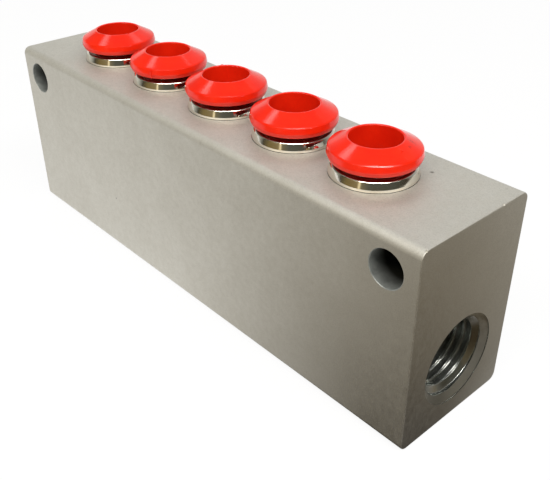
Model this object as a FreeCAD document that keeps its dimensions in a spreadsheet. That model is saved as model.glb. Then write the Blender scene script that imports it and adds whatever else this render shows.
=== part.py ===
"""Air manifold block: an aluminium bar with five push-in tube fittings in its top.

The bar lies along X, its base is at Z = 0 and the origin is the centre of that base.
A gallery runs through it from a threaded port in one end to a threaded port in the other.
Each fitting is a collar, a release sleeve, a grip ring, a spacer ring and a tube seal, stacked
in a stepped bore that reaches down to the gallery. All lengths are in millimetres.
"""

import FreeCAD, Part
import os

import Sketcher
from FreeCAD import Vector

# Driving dimensions: name, value, what it measures.
DRIVING_DIMENSIONS = (
    ("block_length", 106.5, "bar, end to end"),
    ("block_depth", 24.0, "bar, front to back"),
    ("block_height", 35.6, "bar, base to top face"),
    ("block_edge_radius", 1.4, "rounding of the four long edges"),
    ("block_end_break", 0.2, "edge break round both end faces"),
    ("gallery_bore", 11.2, "diameter of the lengthwise gallery"),
    ("port_height", 11.1, "axis of the ports and the gallery above the base"),
    ("port_bore", 13.6, "thread's major diameter"),
    ("port_depth", 12.0, "full thread below the end face"),
    ("port_mouth", 15.6, "diameter of the countersink at the end face"),
    ("fixing_bore", 6.0, "diameter of a fixing hole"),
    ("fixing_end_inset", 5.65, "fixing hole's axis from the nearer end"),
    ("fixing_top_inset", 5.3, "fixing hole's axis below the top face"),
    ("outlet_count", 5, "fittings in the row"),
    ("outlet_pitch", 17.2, "from one fitting's axis to the next"),
    ("passage_bore", 6.2, "outlet passage down to the gallery"),
    ("tube_outside", 8.0, "outside diameter of the tube that is pushed in"),
    ("tube_clearance", 0.05, "radial, between the tube and what guides it"),
    ("tube_seat_length", 3.4, "bore that holds the tube's end below its seal"),
    ("sleeve_wall", 1.0, "wall of the sleeve's shank"),
    ("sleeve_bead_step", 0.6, "how far the bead stands out from the shank"),
    ("sleeve_bead_height", 1.3, "height of the bead at full diameter"),
    ("sleeve_nose_height", 0.7, "tapered nose below the bead"),
    ("sleeve_nose_land", 0.6, "width of the nose's lower end"),
    ("sleeve_flange_overhang", 0.35, "how far the flange stands out past the collar"),
    ("sleeve_rim_height", 1.8, "flange's rim, underside to shoulder"),
    ("sleeve_rim_taper", 0.3, "how far the rim draws in towards its underside"),
    ("sleeve_cone_height", 1.45, "cone above the rim"),
    ("sleeve_lip_land", 0.3, "flat round the mouth of the bore"),
    ("sleeve_edge_radius", 0.35, "rounding of the rim's shoulder"),
    ("sleeve_lip_radius", 0.2, "rounding of the mouth and the rim's lower edge"),
    ("sleeve_slit_count", 4, "slits between the fingers"),
    ("sleeve_slit_width", 1.2, "width of a slit"),
    ("sleeve_slit_height", 3.6, "height of a slit from the nose up"),
    ("sleeve_travel_gap", 0.85, "collar's top to the flange's underside, at rest"),
    ("guide_clearance", 0.1, "radial, between the sleeve's shank and the collar's lip"),
    ("bead_clearance", 0.2, "radial, between the bead and the collar's chamber"),
    ("bead_seat_clearance", 0.1, "axial, between the bead and the collar's lip"),
    ("collar_foot_height", 0.15, "upright wall of the head, under its rounding"),
    ("collar_top_land", 0.25, "level ring of the head, between its rounding and its bore"),
    ("collar_mouth_radius", 0.15, "rounding of the head's bore at its top"),
    ("collar_head_step", 0.45, "how far the head stands out from the barrel"),
    ("collar_wall", 0.6, "wall of the barrel beside the chamber"),
    ("collar_lip_depth", 2.5, "lip's lower face below the top face"),
    ("collar_barrel_length", 5.0, "barrel below the top face"),
    ("grip_thickness", 0.3, "sheet thickness of the grip ring"),
    ("grip_bend_inset", 0.9, "where the teeth start, in from the ring's outer edge"),
    ("grip_tooth_angle", 40.0, "slope of the teeth below level, in degrees"),
    ("grip_tooth_bite", 0.05, "how far the teeth stand in past the tube's surface"),
    ("grip_slot_count", 8, "slots between the teeth"),
    ("grip_slot_width", 0.8, "width of a slot"),
    ("grip_slot_root", 0.3, "solid metal left between the slots and the bend"),
    ("tooth_clearance", 0.3, "level gap between the teeth and the spacer's dish"),
    ("ring_clearance", 0.05, "radial, between the loose rings and their bore"),
    ("spacer_height", 2.6, "height of the spacer ring"),
    ("seal_section", 1.8, "diameter of the seal's round section"),
    ("seal_squeeze", 0.15, "how far the free seal stands in past the tube's surface"),
    ("seal_clearance", 0.1, "between the free seal and the wall or floor of its groove"),
    ("seal_groove_height", 2.2, "height of the seal's groove"),
)

# Radii of one fitting, from the tube outwards.
BORE_RADIUS = "(Sizes.tube_outside / 2 + Sizes.tube_clearance)"
SHANK_RADIUS = f"({BORE_RADIUS} + Sizes.sleeve_wall)"
BEAD_RADIUS = f"({SHANK_RADIUS} + Sizes.sleeve_bead_step)"
LIP_BORE_RADIUS = f"({SHANK_RADIUS} + Sizes.guide_clearance)"
CHAMBER_RADIUS = f"({BEAD_RADIUS} + Sizes.bead_clearance)"
BARREL_RADIUS = f"({CHAMBER_RADIUS} + Sizes.collar_wall)"
HEAD_RADIUS = f"({BARREL_RADIUS} + Sizes.collar_head_step)"
DOME_RADIUS = f"({HEAD_RADIUS} - {LIP_BORE_RADIUS} - Sizes.collar_top_land)"
FLANGE_RADIUS = f"({HEAD_RADIUS} + Sizes.sleeve_flange_overhang)"
RING_RADIUS = f"({BARREL_RADIUS} - Sizes.ring_clearance)"
SEAL_CENTRE_RADIUS = "(Sizes.tube_outside / 2 - Sizes.seal_squeeze + Sizes.seal_section / 2)"
GROOVE_RADIUS = f"({SEAL_CENTRE_RADIUS} + Sizes.seal_section / 2 + Sizes.seal_clearance)"

# Heights of one fitting, from the block's top face up (positive) or down (negative).
HEAD_TOP = f"(Sizes.collar_foot_height + {DOME_RADIUS})"
UNDERSIDE = f"({HEAD_TOP} + Sizes.sleeve_travel_gap)"
SHOULDER = f"({UNDERSIDE} + Sizes.sleeve_rim_height)"
CROWN = f"({SHOULDER} + Sizes.sleeve_cone_height)"
BEAD_TOP = "(-Sizes.collar_lip_depth - Sizes.bead_seat_clearance)"
BEAD_FOOT = f"({BEAD_TOP} - Sizes.sleeve_bead_height)"
NOSE = f"({BEAD_FOOT} - Sizes.sleeve_nose_height)"
BARREL_FOOT = "(-Sizes.collar_barrel_length)"
SPACER_TOP = f"({BARREL_FOOT} - Sizes.grip_thickness)"
SPACER_FOOT = f"({SPACER_TOP} - Sizes.spacer_height)"
GROOVE_FLOOR = f"({SPACER_FOOT} - Sizes.seal_groove_height)"
TUBE_STOP = f"({GROOVE_FLOOR} - Sizes.tube_seat_length)"
GALLERY_AXIS = "(Sizes.port_height - Sizes.block_height)"


def make_sheet(doc):
    """Write the driving dimensions to a sheet whose cells the sub-parts are bound to."""
    sheet = doc.addObject("Spreadsheet::Sheet", "Sizes")
    for row, (alias, value, note) in enumerate(DRIVING_DIMENSIONS, start=1):
        sheet.set(f"A{row}", alias)
        sheet.set(f"B{row}", str(value))
        sheet.set(f"C{row}", note)
        sheet.setAlias(f"B{row}", alias)
    doc.recompute()
    return sheet


def make_body(doc, label):
    """Add an empty body named after its sub-part."""
    body = doc.addObject("PartDesign::Body", label)
    body.Label = label
    return body


def origin_feature(body, role):
    """Give the body's own origin plane or axis of that role."""
    return next(item for item in body.Origin.OriginFeatures if item.Role == role)


def make_sketch(body, name, plane, across="0", up="0"):
    """Add a sketch on an origin plane, its own origin moved across and up by two formulas."""
    sketch = body.newObject("Sketcher::SketchObject", name)
    sketch.AttachmentSupport = [(origin_feature(body, plane), "")]
    sketch.MapMode = "FlatFace"
    sketch.setExpression("AttachmentOffset.Base.x", across)
    sketch.setExpression("AttachmentOffset.Base.y", up)
    return sketch


def bind_point(sketch, geometry, point, across, up):
    """Hold a point of a sketch at two formulas, on an axis where the formula is a plain 0."""
    for kind, axis, formula in (("DistanceX", -2, across), ("DistanceY", -1, up)):
        if formula == "0":
            sketch.addConstraint(Sketcher.Constraint("PointOnObject", geometry, point, axis))
            continue
        value = float(sketch.evalExpression(formula))
        index = sketch.addConstraint(Sketcher.Constraint(kind, -1, 1, geometry, point, value))
        sketch.setExpression(f"Constraints[{index}]", formula)


def draw_outline(sketch, corners):
    """Draw a closed outline through corners, each a pair of formulas (across, up)."""
    places = [Vector(*(float(sketch.evalExpression(side)) for side in corner), 0) for corner in corners]
    for start, end in zip(places, places[1:] + places[:1]):
        sketch.addGeometry(Part.LineSegment(start, end), False)
    for index, corner in enumerate(corners):
        before = (index - 1) % len(corners)
        sketch.addConstraint(Sketcher.Constraint("Coincident", before, 2, index, 1))
        bind_point(sketch, index, 1, *corner)


def draw_circle(sketch, across, up, diameter):
    """Draw one circle whose centre and diameter are formulas."""
    centre = Vector(float(sketch.evalExpression(across)), float(sketch.evalExpression(up)), 0)
    value = float(sketch.evalExpression(diameter))
    circle = sketch.addGeometry(Part.Circle(centre, Vector(0, 0, 1), value / 2), False)
    bind_point(sketch, circle, 3, across, up)
    index = sketch.addConstraint(Sketcher.Constraint("Diameter", circle, value))
    sketch.setExpression(f"Constraints[{index}]", diameter)


def turn(body, name, sketch, axis="V_Axis", kind="Revolution"):
    """Turn a sketch once round one of its own axes, to add or to cut."""
    feature = body.newObject(f"PartDesign::{kind}", name)
    feature.Profile = sketch
    feature.ReferenceAxis = (sketch, [axis])
    feature.Angle = 360
    return feature


def cut_through(body, name, sketch, side="Symmetric"):
    """Cut a sketch right through the body."""
    feature = body.newObject("PartDesign::Pocket", name)
    feature.Profile = sketch
    feature.Type = "ThroughAll"
    feature.SideType = side
    return feature


def mirror(body, name, original):
    """Repeat a feature on the other side of the YZ plane."""
    feature = body.newObject("PartDesign::Mirrored", name)
    feature.Originals = [original]
    feature.MirrorPlane = (origin_feature(body, "YZ_Plane"), [""])
    body.Tip = feature


def repeat_round(body, name, original, count):
    """Repeat a feature evenly round the Z axis."""
    feature = body.newObject("PartDesign::PolarPattern", name)
    feature.Originals = [original]
    feature.Axis = (origin_feature(body, "Z_Axis"), [""])
    feature.Angle = 360
    feature.setExpression("Occurrences", count)
    body.Tip = feature


def dress_edges(doc, body, kind, name, size_name, size, test):
    """Round or break the edges of the body that pass a test."""
    doc.recompute()
    base = body.Tip
    edges = [f"Edge{index}" for index, edge in enumerate(base.Shape.Edges, start=1) if test(edge)]
    feature = body.newObject(f"PartDesign::{kind}", name)
    feature.Base = (base, edges)
    feature.setExpression(size_name, size)


def is_lengthwise(edge):
    """True for a straight edge along X."""
    start, end = (vertex.Point for vertex in edge.Vertexes)
    return abs(start.x - end.x) > edge.Length / 2


def ring_edge(body, radius, height):
    """Give a test for the circular edge of a turned body at a radius and a height."""
    want_radius = float(body.evalExpression(radius))
    want_height = float(body.evalExpression(height))

    def test(edge):
        box = edge.BoundBox
        at_radius = abs(box.XMax - want_radius) < 1e-4
        return at_radius and abs(box.ZMax - want_height) < 1e-4 and box.ZLength < 1e-4

    return test


def outlet_place(number):
    """Formula for the X of an outlet, numbered from 1 at the -X end."""
    return f"({number} - (Sizes.outlet_count + 1) / 2) * Sizes.outlet_pitch"


def seat_in_outlet(body, number):
    """Stand a body, modelled about its own Z axis, in its outlet at the block's top face."""
    body.setExpression("Placement.Base.x", outlet_place(number))
    body.setExpression("Placement.Base.z", "Sizes.block_height")


def make_block(doc):
    """The bar with its gallery, ports, fixing holes and stepped outlet bores."""
    body = make_body(doc, "manifold_block")

    section = make_sketch(body, "bar_section", "YZ_Plane")
    half_depth = "Sizes.block_depth / 2"
    back_depth = "-Sizes.block_depth / 2"
    draw_outline(section, (
        (back_depth, "0"),
        (half_depth, "0"),
        (half_depth, "Sizes.block_height"),
        (back_depth, "Sizes.block_height"),
    ))
    bar = body.newObject("PartDesign::Pad", "bar")
    bar.Profile = section
    bar.SideType = "Symmetric"
    bar.setExpression("Length", "Sizes.block_length")
    dress_edges(doc, body, "Fillet", "long_edges", "Radius", "Sizes.block_edge_radius", is_lengthwise)
    dress_edges(
        doc, body, "Chamfer", "end_edges", "Size", "Sizes.block_end_break",
        lambda edge: edge.BoundBox.XLength < 1e-4,
    )

    gallery_section = make_sketch(body, "gallery_section", "YZ_Plane")
    draw_circle(gallery_section, "0", "Sizes.port_height", "Sizes.gallery_bore")
    cut_through(body, "gallery", gallery_section)

    cut_ports(body)
    cut_fixing_holes(body)
    cut_outlets(body)
    return body


def cut_ports(body):
    """A countersunk bore at the thread's major diameter in each end."""
    half_length = "Sizes.block_length / 2"
    mouth = "Sizes.port_mouth / 2"
    bore = "Sizes.port_bore / 2"
    gallery = "Sizes.gallery_bore / 2"
    thread_end = f"{half_length} - Sizes.port_depth"
    outline = make_sketch(body, "port_outline", "XZ_Plane", up="Sizes.port_height")
    draw_outline(outline, (
        (half_length, "0"),
        (half_length, mouth),
        (f"{half_length} - ({mouth} - {bore})", bore),
        (thread_end, bore),
        (f"{thread_end} - ({bore} - {gallery})", gallery),
        (f"{thread_end} - ({bore} - {gallery})", "0"),
    ))
    port = turn(body, "port", outline, axis="H_Axis", kind="Groove")
    mirror(body, "port_pair", port)


def cut_fixing_holes(body):
    """A plain hole from front to back near each upper corner."""
    outline = make_sketch(body, "fixing_outline", "XZ_Plane")
    draw_circle(
        outline,
        "Sizes.block_length / 2 - Sizes.fixing_end_inset",
        "Sizes.block_height - Sizes.fixing_top_inset",
        "Sizes.fixing_bore",
    )
    hole = cut_through(body, "fixing_hole", outline)
    mirror(body, "fixing_pair", hole)


def cut_outlets(body):
    """A row of stepped bores: collar and rings, seal, tube seat, then passage to the gallery."""
    outline = make_sketch(body, "outlet_outline", "XZ_Plane", across=outlet_place(1), up="Sizes.block_height")
    passage = "Sizes.passage_bore / 2"
    draw_outline(outline, (
        ("0", "0"),
        (BARREL_RADIUS, "0"),
        (BARREL_RADIUS, SPACER_FOOT),
        (GROOVE_RADIUS, SPACER_FOOT),
        (GROOVE_RADIUS, GROOVE_FLOOR),
        (BORE_RADIUS, GROOVE_FLOOR),
        (BORE_RADIUS, TUBE_STOP),
        (passage, TUBE_STOP),
        (passage, GALLERY_AXIS),
        ("0", GALLERY_AXIS),
    ))
    outlet = turn(body, "outlet", outline, kind="Groove")
    row = body.newObject("PartDesign::LinearPattern", "outlet_row")
    row.Originals = [outlet]
    row.Direction = (origin_feature(body, "X_Axis"), [""])
    row.setExpression("Length", "(Sizes.outlet_count - 1) * Sizes.outlet_pitch")
    row.setExpression("Occurrences", "Sizes.outlet_count")
    body.Tip = row


def make_collar(doc, number):
    """Plated ring: a rounded head on the top face, a pressed barrel and a lip that holds the sleeve in."""
    body = make_body(doc, f"collar_{number}")
    outline = make_sketch(body, "collar_outline", "XZ_Plane")
    lip_foot = "-Sizes.collar_lip_depth"
    draw_outline(outline, (
        (HEAD_RADIUS, "0"),
        (HEAD_RADIUS, HEAD_TOP),
        (LIP_BORE_RADIUS, HEAD_TOP),
        (LIP_BORE_RADIUS, lip_foot),
        (CHAMBER_RADIUS, lip_foot),
        (CHAMBER_RADIUS, BARREL_FOOT),
        (BARREL_RADIUS, BARREL_FOOT),
        (BARREL_RADIUS, "0"),
    ))
    turn(body, "collar_ring", outline)
    round_edge(doc, body, "head_dome", DOME_RADIUS, HEAD_RADIUS, HEAD_TOP)
    round_edge(doc, body, "mouth_edge", "Sizes.collar_mouth_radius", LIP_BORE_RADIUS, HEAD_TOP)
    seat_in_outlet(body, number)
    return body


def round_edge(doc, body, name, size, radius, height):
    """Round the circular edge at a radius and a height, both formulas."""
    dress_edges(doc, body, "Fillet", name, "Radius", size, ring_edge(body, radius, height))


def make_sleeve(doc, number):
    """Release sleeve: conical flange, shank and a beaded, slit lower end."""
    body = make_body(doc, f"release_sleeve_{number}")
    outline = make_sketch(body, "sleeve_outline", "XZ_Plane")
    rim_foot = f"{FLANGE_RADIUS} - Sizes.sleeve_rim_taper"
    draw_outline(outline, (
        (BORE_RADIUS, NOSE),
        (f"{BORE_RADIUS} + Sizes.sleeve_nose_land", NOSE),
        (BEAD_RADIUS, BEAD_FOOT),
        (BEAD_RADIUS, BEAD_TOP),
        (SHANK_RADIUS, BEAD_TOP),
        (SHANK_RADIUS, UNDERSIDE),
        (rim_foot, UNDERSIDE),
        (FLANGE_RADIUS, SHOULDER),
        (f"{BORE_RADIUS} + Sizes.sleeve_lip_land", CROWN),
        (BORE_RADIUS, CROWN),
    ))
    turn(body, "sleeve_ring", outline)
    round_edge(doc, body, "shoulder_edge", "Sizes.sleeve_edge_radius", FLANGE_RADIUS, SHOULDER)
    round_edge(doc, body, "rim_edge", "Sizes.sleeve_lip_radius", rim_foot, UNDERSIDE)
    round_edge(doc, body, "mouth_edge", "Sizes.sleeve_lip_radius", BORE_RADIUS, CROWN)

    slit_outline = make_sketch(body, "slit_outline", "XZ_Plane")
    draw_outline(slit_outline, (
        ("-Sizes.sleeve_slit_width / 2", NOSE),
        ("Sizes.sleeve_slit_width / 2", NOSE),
        ("Sizes.sleeve_slit_width / 2", f"{NOSE} + Sizes.sleeve_slit_height"),
        ("-Sizes.sleeve_slit_width / 2", f"{NOSE} + Sizes.sleeve_slit_height"),
    ))
    slit = cut_through(body, "slit", slit_outline, side="One side")
    repeat_round(body, "slits", slit, "Sizes.sleeve_slit_count")
    seat_in_outlet(body, number)
    return body


def make_grip_ring(doc, number):
    """Toothed sheet ring, clamped under the collar, with teeth that slope down and inwards."""
    body = make_body(doc, f"grip_ring_{number}")
    bend = f"({RING_RADIUS} - Sizes.grip_bend_inset)"
    under_bend = f"({bend} + Sizes.grip_thickness * tan(Sizes.grip_tooth_angle / 2))"
    tip = "(Sizes.tube_outside / 2 - Sizes.grip_tooth_bite)"
    tip_height = f"({BARREL_FOOT} - ({bend} - {tip}) * tan(Sizes.grip_tooth_angle))"
    outline = make_sketch(body, "grip_outline", "XZ_Plane")
    draw_outline(outline, (
        (RING_RADIUS, BARREL_FOOT),
        (bend, BARREL_FOOT),
        (tip, tip_height),
        (
            f"{tip} + Sizes.grip_thickness * sin(Sizes.grip_tooth_angle)",
            f"{tip_height} - Sizes.grip_thickness * cos(Sizes.grip_tooth_angle)",
        ),
        (under_bend, SPACER_TOP),
        (RING_RADIUS, SPACER_TOP),
    ))
    turn(body, "grip_disc", outline)

    slot_outline = make_sketch(body, "slot_outline", "XY_Plane")
    slot_root = f"{bend} - Sizes.grip_slot_root"
    draw_outline(slot_outline, (
        ("0", "-Sizes.grip_slot_width / 2"),
        (slot_root, "-Sizes.grip_slot_width / 2"),
        (slot_root, "Sizes.grip_slot_width / 2"),
        ("0", "Sizes.grip_slot_width / 2"),
    ))
    slot = cut_through(body, "slot", slot_outline)
    repeat_round(body, "slots", slot, "Sizes.grip_slot_count")
    seat_in_outlet(body, number)
    return body


def make_spacer_ring(doc, number):
    """Ring under the grip ring, dished on top to leave the teeth room."""
    body = make_body(doc, f"spacer_ring_{number}")
    bend = f"({RING_RADIUS} - Sizes.grip_bend_inset)"
    dish = f"({bend} + Sizes.grip_thickness * tan(Sizes.grip_tooth_angle / 2) + Sizes.tooth_clearance)"
    dish_floor = f"{SPACER_TOP} - ({dish} - {BORE_RADIUS}) * tan(Sizes.grip_tooth_angle)"
    outline = make_sketch(body, "spacer_outline", "XZ_Plane")
    draw_outline(outline, (
        (RING_RADIUS, SPACER_TOP),
        (dish, SPACER_TOP),
        (BORE_RADIUS, dish_floor),
        (BORE_RADIUS, SPACER_FOOT),
        (RING_RADIUS, SPACER_FOOT),
    ))
    turn(body, "spacer_disc", outline)
    seat_in_outlet(body, number)
    return body


def make_tube_seal(doc, number):
    """O-ring in its groove below the spacer ring."""
    body = make_body(doc, f"tube_seal_{number}")
    outline = make_sketch(body, "seal_outline", "XZ_Plane")
    centre_height = f"{GROOVE_FLOOR} + Sizes.seal_clearance + Sizes.seal_section / 2"
    draw_circle(outline, SEAL_CENTRE_RADIUS, centre_height, "Sizes.seal_section")
    turn(body, "seal_ring", outline)
    seat_in_outlet(body, number)
    return body


def check_objects(doc):
    """Stop if any object of the document failed to build."""
    for item in doc.Objects:
        if {"Invalid", "Error"} & set(item.State):
            raise RuntimeError(f"{item.Label} failed: {item.State}")


def write_parts(sub_parts):
    """Check each sub-part's solid and write it to its own file."""
    os.makedirs("parts", exist_ok=True)
    for body in sub_parts:
        shape = body.Shape
        if shape.isNull() or not shape.isValid() or len(shape.Solids) != 1:
            raise RuntimeError(f"{body.Label} is not one valid solid")
        shape.exportStep(f"parts/{body.Label}.step")
        print(f"{body.Label}: {shape.Volume:.1f} cubic mm")


def main():
    """Build the document, check it and write every sub-part."""
    doc = FreeCAD.newDocument("air_manifold_block")
    sheet = make_sheet(doc)
    sub_parts = [make_block(doc)]
    for number in range(1, int(sheet.outlet_count) + 1):
        for make in (make_collar, make_sleeve, make_grip_ring, make_spacer_ring, make_tube_seal):
            sub_parts.append(make(doc, number))
    doc.recompute()
    check_objects(doc)
    write_parts(sub_parts)


main()
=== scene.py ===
"""Looks of an air manifold block with five push-in fittings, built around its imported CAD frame.

The bar lies along X with its base at Z = 0, and the origin is the centre of that base. Sizes in
the classes are in millimetres, and every mesh is in metres. Each fitting is modelled about the Z
axis with the bar's top face at zero height, and then moved to its outlet.
"""

import logging
import math
from collections.abc import Sequence
from dataclasses import dataclass, field
from enum import Enum

import bmesh
import bpy
from mathutils import Matrix, Vector


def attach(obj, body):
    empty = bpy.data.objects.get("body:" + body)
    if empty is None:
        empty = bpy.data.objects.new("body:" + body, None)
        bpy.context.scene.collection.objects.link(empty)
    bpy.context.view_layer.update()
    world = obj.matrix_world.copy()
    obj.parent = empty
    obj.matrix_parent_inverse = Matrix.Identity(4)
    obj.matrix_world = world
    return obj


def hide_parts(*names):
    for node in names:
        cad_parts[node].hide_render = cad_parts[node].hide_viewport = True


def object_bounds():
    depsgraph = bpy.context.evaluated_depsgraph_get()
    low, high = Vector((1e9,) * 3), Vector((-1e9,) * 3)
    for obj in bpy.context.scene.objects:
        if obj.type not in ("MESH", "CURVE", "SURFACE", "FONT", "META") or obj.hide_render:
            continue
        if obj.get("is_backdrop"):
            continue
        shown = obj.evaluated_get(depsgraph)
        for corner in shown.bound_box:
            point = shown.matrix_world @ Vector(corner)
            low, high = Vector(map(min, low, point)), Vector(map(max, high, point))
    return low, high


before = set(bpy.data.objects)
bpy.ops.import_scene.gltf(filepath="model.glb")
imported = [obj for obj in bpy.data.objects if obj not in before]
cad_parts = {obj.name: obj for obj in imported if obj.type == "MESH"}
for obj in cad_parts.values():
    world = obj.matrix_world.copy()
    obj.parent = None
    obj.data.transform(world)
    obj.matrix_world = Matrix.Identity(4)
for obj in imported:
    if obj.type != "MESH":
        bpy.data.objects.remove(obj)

log = logging.getLogger("air_manifold_block")

MM = 0.001
FULL_TURN = 2 * math.pi

# In millimetres: a point this near the axis is on it, and points this close together are one
ON_AXIS = 1e-6
SAME_POINT = 1e-5

# A face belongs to an end of the bar if this much of its unit normal points along X
END_FACING = 0.999

# Place of a piece's second finish among its materials
SECOND_FINISH = 1

# How much the larger faces lead the shading of the smaller ones, of 100
LARGE_FACE_LEAD = 75

# Range that the middle of a noise fills, and the share of its reach over which a spot is full
NOISE_RANGE = (0.3, 0.7)
SPOT_CORE = 0.3

# Places of the colour sockets of Blender's Mix node among its inputs and outputs
MIX_SHARE, MIX_FIRST, MIX_SECOND = 0, 6, 7
MIX_RESULT = 2

Colour = tuple[float, float, float]
Corner = tuple[float, float, float]
Place = tuple[float, float, float]
Sides = tuple[float, float, float]
Angles = tuple[float, float, float]
Pair = tuple[float, float]

# Places with their reach, and azimuths in degrees with their colour
Spots = tuple[tuple[Place, float], ...]
Stops = tuple[tuple[float, Colour], ...]

WHITE: Colour = (1.0, 1.0, 1.0)


class Axis(Enum):
    """Direction of a turned shape's own axis."""

    ALONG_BAR = "X"
    THROUGH_BAR = "Y"
    UPRIGHT = "Z"


class Fit(Enum):
    """How one solid is worked into another."""

    CUT = "DIFFERENCE"
    JOIN = "UNION"


class Rounded(Enum):
    """What a rounding works on."""

    CORNERS = "VERTICES"
    EDGES = "EDGES"


class Sum(Enum):
    """Sums that a finish works out."""

    PLUS = "ADD"
    TIMES = "MULTIPLY"
    LARGER = "MAXIMUM"
    UNSIGNED = "ABSOLUTE"
    ANGLE = "ARCTAN2"


class Body(Enum):
    """Bodies of the frame that are named here in full."""

    MANIFOLD = "manifold"


# Mesh work shared by the pieces


def scale(shape: bmesh.types.BMesh, sides: Sides) -> None:
    """Scale a whole mesh about the origin."""
    bmesh.ops.scale(shape, verts=shape.verts[:], vec=sides)


def rotate(shape: bmesh.types.BMesh, angle: float, letter: str) -> None:
    """Rotate a whole mesh about the axis of a letter, by an angle in radians."""
    turn = Matrix.Rotation(angle, 3, letter)
    bmesh.ops.rotate(shape, verts=shape.verts[:], cent=(0, 0, 0), matrix=turn)


def move(shape: bmesh.types.BMesh, way: Place) -> None:
    """Move a whole mesh."""
    bmesh.ops.translate(shape, verts=shape.verts[:], vec=way)


def round_off(
    shape: bmesh.types.BMesh, parts: Sequence[bmesh.types.BMVert | bmesh.types.BMEdge], reach: float,
    rounded: Rounded, segments: int,
) -> None:
    """Round corners of an outline or edges of a solid.

    Args:
        shape: The mesh.
        parts: Its corners or edges to round.
        reach: How far the rounding reaches along their neighbours, in millimetres.
        rounded: Whether the parts are corners or edges.
        segments: Straight steps in each rounding.
    """
    bmesh.ops.bevel(
        shape, geom=parts, offset=reach, offset_type="OFFSET", affect=rounded.value,
        segments=segments, profile=0.5, material=-1, clamp_overlap=False,
    )


def rounded_face(corners: Sequence[Corner], segments: int) -> bmesh.types.BMesh:
    """Draw a flat outline in the XZ plane and round its corners.

    Args:
        corners: Radius from the axis, height and rounding of each corner, in millimetres.
        segments: Straight steps in each rounding.

    Returns:
        A mesh that holds the outline as one face.
    """
    sheet = bmesh.new()
    points = [sheet.verts.new((across, 0, up)) for across, up, _ in corners]
    sheet.faces.new(points)
    for point, (_, _, rounding) in zip(points, corners):
        if rounding > 0:
            first, second = (edge.other_vert(point).co - point.co for edge in point.link_edges)
            reach = rounding / math.tan(first.angle(second) / 2)
            round_off(sheet, [point], reach, Rounded.CORNERS, segments)
    return sheet


def mirrored(half: Sequence[Corner]) -> list[Corner]:
    """Complete half an outline by its mirror image in the plane at zero height."""
    return [*half, *((across, -up, rounding) for across, up, rounding in reversed(half))]


def turned(corners: Sequence[Corner], steps: int, segments: int = 5) -> bmesh.types.BMesh:
    """Turn an outline once round the Z axis.

    Args:
        corners: Radius, height and rounding of each corner, in millimetres.
        steps: Flats round the whole turn.
        segments: Straight steps in each rounding.

    Returns:
        The closed shape, in millimetres about the Z axis.
    """
    shape = rounded_face(corners, segments)
    bmesh.ops.delete(shape, geom=shape.faces[:], context="FACES_ONLY")
    on_axis = [edge for edge in shape.edges if all(abs(end.co.x) < ON_AXIS for end in edge.verts)]
    bmesh.ops.delete(shape, geom=on_axis, context="EDGES")
    bmesh.ops.spin(
        shape, geom=shape.verts[:] + shape.edges[:], cent=(0, 0, 0), axis=(0, 0, 1), dvec=(0, 0, 0),
        angle=FULL_TURN, steps=steps, use_merge=True,
    )
    tidy_shell(shape)
    return shape


def tidy_shell(shape: bmesh.types.BMesh) -> None:
    """Merge doubled points, drop loose ones and turn the faces outwards.

    Args:
        shape: The mesh, in millimetres.
    """
    bmesh.ops.remove_doubles(shape, verts=shape.verts[:], dist=SAME_POINT)
    loose = [point for point in shape.verts if not point.link_faces]
    bmesh.ops.delete(shape, geom=loose, context="VERTS")
    bmesh.ops.recalc_face_normals(shape, faces=shape.faces[:])


def stand(shape: bmesh.types.BMesh, axis: Axis, place: Place) -> None:
    """Turn a shape from the Z axis to another axis and move it to its place.

    Args:
        shape: The mesh, in millimetres about the Z axis.
        axis: Where its own axis shall point.
        place: Where its origin shall lie, in millimetres.
    """
    if axis is Axis.ALONG_BAR:
        rotate(shape, math.pi / 2, "Y")
    elif axis is Axis.THROUGH_BAR:
        rotate(shape, math.pi / 2, "X")
    move(shape, place)


def make_piece(name: str, shape: bmesh.types.BMesh, finish: bpy.types.Material) -> bpy.types.Object:
    """Turn a mesh in millimetres into an object in metres, with its place in its mesh.

    Args:
        name: Name of the object.
        shape: The mesh, which is used up.
        finish: Its material.

    Returns:
        The new object, linked to the scene.
    """
    scale(shape, (MM, MM, MM))
    mesh = bpy.data.meshes.new(name)
    shape.to_mesh(mesh)
    shape.free()
    mesh.materials.append(finish)
    piece = bpy.data.objects.new(name, mesh)
    bpy.context.scene.collection.objects.link(piece)
    return piece


def work_in(piece: bpy.types.Object, tools: Sequence[bpy.types.Object], fit: Fit) -> None:
    """Cut tools out of a piece, or join them to it, and throw the tools away.

    Args:
        piece: The piece that changes.
        tools: Closed solids; a cut leaves its tool's finish on the new wall.
        fit: Whether the tools are cut out or joined on.
    """
    for tool in tools:
        step = piece.modifiers.new(tool.name, "BOOLEAN")
        step.operation = fit.value
        step.solver = "EXACT"
        step.material_mode = "TRANSFER"
        step.object = tool
    graph = bpy.context.evaluated_depsgraph_get()
    worked = bpy.data.meshes.new_from_object(piece.evaluated_get(graph), depsgraph=graph)
    piece.modifiers.clear()
    old = piece.data
    piece.data = worked
    worked.name = piece.name
    bpy.data.meshes.remove(old)
    for tool in tools:
        bpy.data.meshes.remove(tool.data)


def crease(piece: bpy.types.Object, degrees: float = 28.0) -> None:
    """Shade a piece smoothly, with a crisp line where its faces meet at a steeper angle."""
    piece.data.shade_smooth()
    piece.data.set_sharp_from_angle(angle=math.radians(degrees))


def smooth(piece: bpy.types.Object) -> None:
    """Shade a piece smoothly between its crisp lines, led by its larger faces.

    Args:
        piece: The finished piece.
    """
    crease(piece)
    weigh = piece.modifiers.new("level_shading", "WEIGHTED_NORMAL")
    weigh.keep_sharp = True
    weigh.weight = LARGE_FACE_LEAD


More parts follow.
